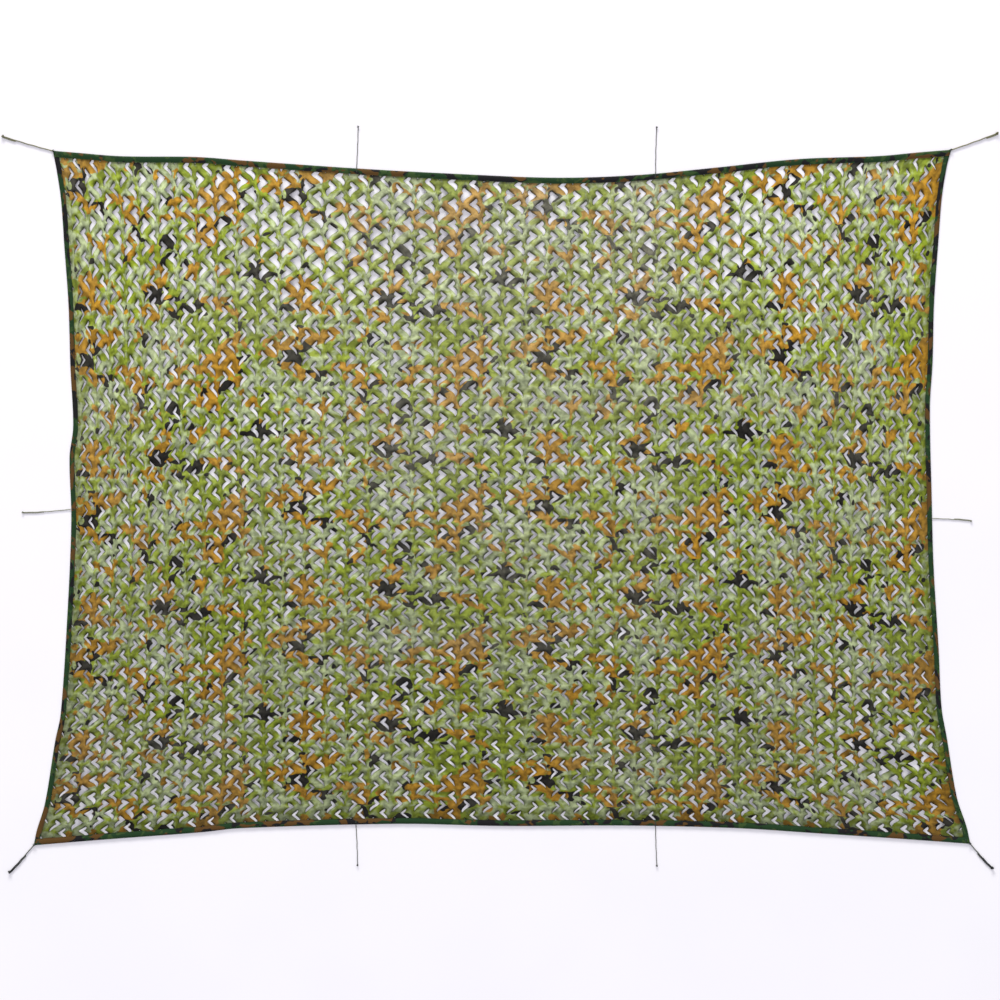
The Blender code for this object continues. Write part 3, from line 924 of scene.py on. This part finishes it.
def makeStitchTree():
    inputs = (("Stitch", "Object"), ("Uneven", "Float"), ("Seed", "Int"), ("Thread", "Material"))
    tree, put, out = newGeometryTree("stitchRun", inputs)
    points = addNode(tree, "GeometryNodeMeshToPoints", {"Mesh": put["Geometry"]}).outputs[0]
    way, size = (
        addNode(tree, "GeometryNodeInputNamedAttribute", {"Name": name}, data_type=kind).outputs[0]
        for name, kind in (("direction", "FLOAT_VECTOR"), ("size", "FLOAT"))
    )
    chance = addNode(tree, "FunctionNodeRandomValue", {
        2: mathNode(tree, "SUBTRACT", 1.0, put["Uneven"]),
        3: mathNode(tree, "ADD", 1.0, put["Uneven"]),
        "Seed": put["Seed"],
    }, data_type="FLOAT").outputs[1]
    turned = addNode(tree, "FunctionNodeAlignRotationToVector", {"Vector": way}, axis="X", pivot_axis="Z")
    scaled = mathNode(tree, "MULTIPLY", size, chance)
    copies = realCopies(tree, points, put["Stitch"], Rotation=turned.outputs[0], Scale=scaled)
    return finishTree(tree, out, copies, put["Thread"])


def makeStitching(edge, shape, tree, thread, tackShares):
    # A run along the stitch line, and a bar tack of close stitches at each tie.
    high, _, _, narrow = tapeEdges[edge]
    share, distance, sway, depthScale = edgeStations(edge, tape["stitchPitch"])
    keep = slice(2, -2) if edge in longEdges else slice(4, -4)
    plan = edgeSpots(edge, share, (tape["stitchDepth"] * narrow + sway) / depthScale)
    tall = tapeHeight(edge, distance, tape["stitchDepth"], 0.0037) + 0.0002
    spots = np.column_stack((plan, tall))
    places, ways = list(spots[keep]), list(unitWays(spots)[keep])
    sizes = [tape["stitchLength"]] * len(places)
    topRows = ((0.0013, 0.0041), (0.004, 0.0051), (0.009, 0.0055), (0.016, 0.0052), (0.0215, 0.0044))
    for tackShare in tackShares:
        for k in range(tack["stitches"]):
            depth = tack["from"] + tack["pitch"] * k
            at, deep = np.array((tackShare,)), np.array((depth * narrow,)) / depthScale
            spot, ahead = (edgeSpots(edge, at + more, deep)[0] for more in (0, 0.002))
            turn = (ahead - spot) / np.linalg.norm(ahead - spot)
            places.append((*spot, np.interp(depth, *zip(*topRows)) * high + 0.0004))
            ways.append((*turn, 0.0))
            sizes.append(tack["length"])
    guide = makeObject(edge + "StitchGuide", places, [])
    setPointValues(guide.data, "direction", ways)
    setPointValues(guide.data, "size", sizes)
    run = guide.modifiers.new("stitchRun", "NODES")
    run.node_group = tree
    setInputs(run, Stitch=shape, Uneven=tape["stitchUneven"], Seed=tape["seed"], Thread=thread)
    made = toMesh(guide, edge + "Stitching")
    smoothFaces(made.data)
    return made


# Tie cords. Rows: (edge, share, reach, diameter, bow, warmth, shade at net, shade at tip, doubled from).
ties = {
    "corner_top_left": ("top", 0.0, (-0.222, 0.065), 0.0045, 0.002, 0.6, 0.08, 0.25, 0.72),
    "corner_top_right": ("top", 1.0, (0.205, 0.074), 0.0045, -0.0015, 0.7, 0.1, 0.28, 0.74),
    "corner_bottom_left": ("bottom", 0.0, (-0.109, -0.12), 0.0045, 0.0015, 0.1, 0.5, 1.0, 0.35),
    "corner_bottom_right": ("bottom", 1.0, (0.1, -0.109), 0.0045, -0.002, 0.1, 0.5, 1.0, 0.35),
    "top_left": ("top", 0.338, (0.007, 0.185), 0.003, -0.001, 0.3, 0.72, 0.9, 1.0),
    "top_right": ("top", 0.671, (0.005, 0.205), 0.003, 0.0015, 0.3, 0.72, 0.9, 1.0),
    "bottom_left": ("bottom", 0.344, (0.007, -0.181), 0.003, 0.0012, 0.3, 0.68, 0.88, 1.0),
    "bottom_right": ("bottom", 0.664, (0.006, -0.177), 0.003, -0.001, 0.3, 0.68, 0.88, 1.0),
    "left": ("left", 0.515, (-0.214, -0.014), 0.003, 0.003, 0.4, 0.0, 0.18, 0.55),
    "right": ("right", 0.53, (0.172, -0.012), 0.003, 0.002, 0.4, 0.0, 0.18, 0.55),
}
cord = {
    "sides": 12,
    "step": 0.0011,
    "strands": 3,
    "laySpan": 3.2,  # length of one full turn, in diameters
    "groove": 0.24,
    "dropLength": 0.03,
    "thick": 0.004,  # a cord over this thickness has a hitch at the net
    "knotSize": 2.9,  # in diameters
}
cordLook = {
    "pale": screenColour(128, 134, 126),
    "warm": screenColour(130, 126, 74),
    "dark": screenColour(20, 24, 20),
    "roughness": 0.75,
    "shine": 0.2,
}


def makeCordMaterial():
    look = cordLook
    material, tree = newMaterial("twistedCord")
    fibres = noiseNode(tree, uvNode(tree, "cordUv"), 3.0, 3.0, stretch=(1.5, 22.0, 1.0))
    colour = mixColour(tree, attributeNode(tree, "warmth"), look["pale"], look["warm"])
    colour = mixColour(tree, attributeNode(tree, "shade"), colour, look["dark"])
    colour = mixColour(tree, 1.0, colour, rangeNode(tree, fibres, 0.3, 0.7, 0.75, 1.15), "MULTIPLY")
    setSurface(tree, colour, look["roughness"], look["shine"], Normal=bumpNode(tree, fibres, 0.4, 0.0003))
    return material


def makeTwistedTube(name, path, diameter, material, shades, warmth):
    # A laid cord: strands wind round the path. Shades: (at the start, at the end, share where it turns).
    run = runAlong(path)
    at = np.linspace(0, run[-1], max(int(round(run[-1] / cord["step"])), 8) + 1)
    spots = np.stack([np.interp(at, run, line) for line in path.T], -1)
    way = unitWays(spots)
    side = np.cross(way[0], (0.13, 0.07, 1.0))
    side /= np.linalg.norm(side)
    sides, count = cord["sides"], len(spots)
    vertices, uv = np.empty((count, sides, 3)), np.empty((count, sides, 2))
    angles = 2 * np.pi * np.arange(sides) / sides
    total, closing = at[-1], 0.4 * diameter
    for k in range(count):
        side = side - way[k] * (side @ way[k])
        side /= np.linalg.norm(side)
        other = np.cross(way[k], side)
        turn = 2 * np.pi * at[k] / (cord["laySpan"] * diameter)
        lobes = np.abs(np.cos(cord["strands"] / 2 * (angles - turn)))
        radius = diameter / 2 * (1 - cord["groove"] * (1 - lobes) ** 1.5)
        for near in (at[k], total - at[k]):
            if near < closing:
                radius = radius * math.sqrt(max(1 - (1 - near / closing) ** 2, 0.02))
        around = np.cos(angles)[:, None] * side + np.sin(angles)[:, None] * other
        vertices[k] = spots[k] + radius[:, None] * around
        uv[k] = np.stack((np.full(sides, at[k] / 0.01), (angles - turn) / (2 * np.pi)), -1)
    made = makeObject(name, vertices.reshape(-1, 3), tubeFaces(count, sides), material)
    addUv(made.data, "cordUv", uv.reshape(-1, 2))
    low, high, turnShare = shades
    blend = easeShare(at / total, turnShare - 0.3, 0.45)
    setPointValues(made.data, "shade", np.repeat(low + (high - low) * blend, sides))
    setPointValues(made.data, "warmth", np.full(count * sides, warmth))
    return made


def knotPath(centre, way, size, thickness):
    # An overhand knot pulled small, its long axis along the cord.
    t = np.linspace(0.35, 2 * np.pi - 0.35, 46)
    along = (np.sin(t) + 2 * np.sin(2 * t)) / 3
    across = (np.cos(t) - 2 * np.cos(2 * t)) / 3
    side = np.array((-way[1], way[0]))
    plan = centre[:2] + size / 2 * (1.15 * along[:, None] * way + across[:, None] * side)
    return np.column_stack((plan, centre[2] + thickness * -np.sin(3 * t)))


def makeTie(name, material):
    edge, share, reach, diameter, bow, warmth, low, high, doubled = ties[name]
    rest = diameter / 2 + 0.0003
    length = np.linalg.norm(reach)
    way = np.array(reach) / length
    side = np.array((-way[1], way[0]))
    start = edgePoint(edge, np.array((share,)))[0] + way * 0.0006
    label = name.title().replace("_", "")
    isThick = diameter > cord["thick"]

    def along(t, shift=0.0):
        drop = easeShare(length * t, 0, cord["dropLength"])
        slight = 0.0006 * np.sin(23 * t + len(name)) * np.sin(np.pi * t)
        aside = bow * np.sin(np.pi * t) + slight + shift
        plan = start + way * (length * t)[..., None] + side * aside[..., None]
        return np.column_stack((plan, rest + max(0.0023 - rest, 0.0) * (1 - drop)))

    def tube(kind, spots, thickness, shades, tint=warmth):
        return makeTwistedTube(kind + label, spots, thickness, material, shades, tint)

    path = along(np.linspace(0, 1, 40))
    main = tube("tie", path, diameter, (low, high, 0.5 if isThick else 0.9))
    size = cord["knotSize"] * diameter
    centre = np.array((*(path[-1][:2] - way * 0.35 * size), 0.3 * size + 0.4 * diameter))
    knot = knotPath(centre, way, size * 0.8, 0.22 * size)
    extras = [tube("knot", knot, diameter * 0.72, (high, high, 0.5))]
    if doubled < 1:
        # The cord is turned back at its tip, and the second run lies beside the first.
        t = np.linspace(doubled, 0.985, 30)
        spread = 0.95 + 0.22 * np.sin(np.pi * (t - doubled) / (1 - doubled)) ** 1.5 + 0.1 * (t - doubled)
        twin = along(t, diameter * spread * (1 if bow > 0 else -1))
        extras.append(tube("return", twin, diameter * 0.94, ((low + high) / 2, high, 0.5)))
    if isThick:
        hitch = knotPath(np.array((*(start - way * 0.002), 0.0072)), way, 0.0095, 0.0018)
        extras.append(tube("hitch", hitch, diameter * 0.62, (0.75, 0.9, 0.5), warmth * 0.3))
    return main, extras, path, length, diameter


tapeMaterial = makeTapeMaterial()
threadMaterial = makePlainMaterial("tapeThread", tapeLook["thread"], 900.0, 0.35, 0.65, 1.6, 0.6)
cordMaterial = makeCordMaterial()
stitchShape, stitchTree = makeStitchShape(), makeStitchTree()
tapes = {}
for edge in tapeEdges:
    tackShares = [min(max(row[1], 0.004), 0.996) for row in ties.values() if row[0] == edge]
    made, run = makeTape(edge, tapeMaterial)
    tapes[edge] = (made, makeStitching(edge, stitchShape, stitchTree, threadMaterial, tackShares), run)
bpy.data.objects.remove(stitchShape)
print("tapes:", len(tapes))
tieSets = {name: makeTie(name, cordMaterial) for name in ties}
print("ties:", len(tieSets))

# Floor, light and camera.
stageLook = {
    "floor": screenColour(244, 243, 245),
    "floorReach": 40,
    "keyPower": 16800.0,
    "keySize": (22.0, 6.0),
    "keyPlace": (-5.4, 34.4, 10.4),
    "keyColour": (1.0, 0.985, 0.94),
    "skyColour": (0.97, 0.955, 1.04),
    "skyStrength": 0.8,
    "cameraHeight": 14.0,
    "frameWidth": 4.36,
    "frameMiddle": (-0.0087, -0.0109),
}


def makeStage():
    look = stageLook
    material = makePlainMaterial("paleFloor", look["floor"], 1.5, 0.3, 0.7, 0.985, 0.9, 0.1)
    far = look["floorReach"]
    spots = [(-far, -far, 0), (far, -far, 0), (far, far, 0), (-far, far, 0)]
    makeObject("paleFloor", spots, [(0, 1, 2, 3)], material)

    panel = bpy.data.lights.new("softKey", "AREA")
    panel.shape = "RECTANGLE"
    panel.size, panel.size_y = look["keySize"]
    panel.energy = look["keyPower"]
    panel.color = look["keyColour"]
    key = bpy.data.objects.new("softKey", panel)
    key.location = look["keyPlace"]
    key.rotation_euler = Vector(look["keyPlace"]).to_track_quat("Z", "Y").to_euler()

    world = bpy.data.worlds.new("softSky")
    world.use_nodes = True
    sky = world.node_tree.nodes["Background"]
    sky.inputs["Color"].default_value = (*look["skyColour"], 1)
    sky.inputs["Strength"].default_value = look["skyStrength"]
    scene = bpy.context.scene
    scene.world = world
    scene.view_settings.view_transform = "Standard"

    lens = bpy.data.cameras.new("faceView")
    lens.sensor_width = 36.0
    lens.lens = lens.sensor_width * look["cameraHeight"] / look["frameWidth"]
    lens.clip_end = 100.0
    camera = bpy.data.objects.new("faceView", lens)
    camera.location = (*look["frameMiddle"], look["cameraHeight"])
    for made in (key, camera):
        sceneRoot.objects.link(made)
    scene.camera = camera


makeStage()

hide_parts("net_cloth")
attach(slitNet, "root")

for edge, (made, stitching, run) in tapes.items():
    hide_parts("binding_" + edge)
    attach(made, "root")
    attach(stitching, "root")
for name, (made, extras, path, length, diameter) in tieSets.items():
    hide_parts("tie_" + name)
    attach(made, "root")
    for extra in extras:
        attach(extra, "root")
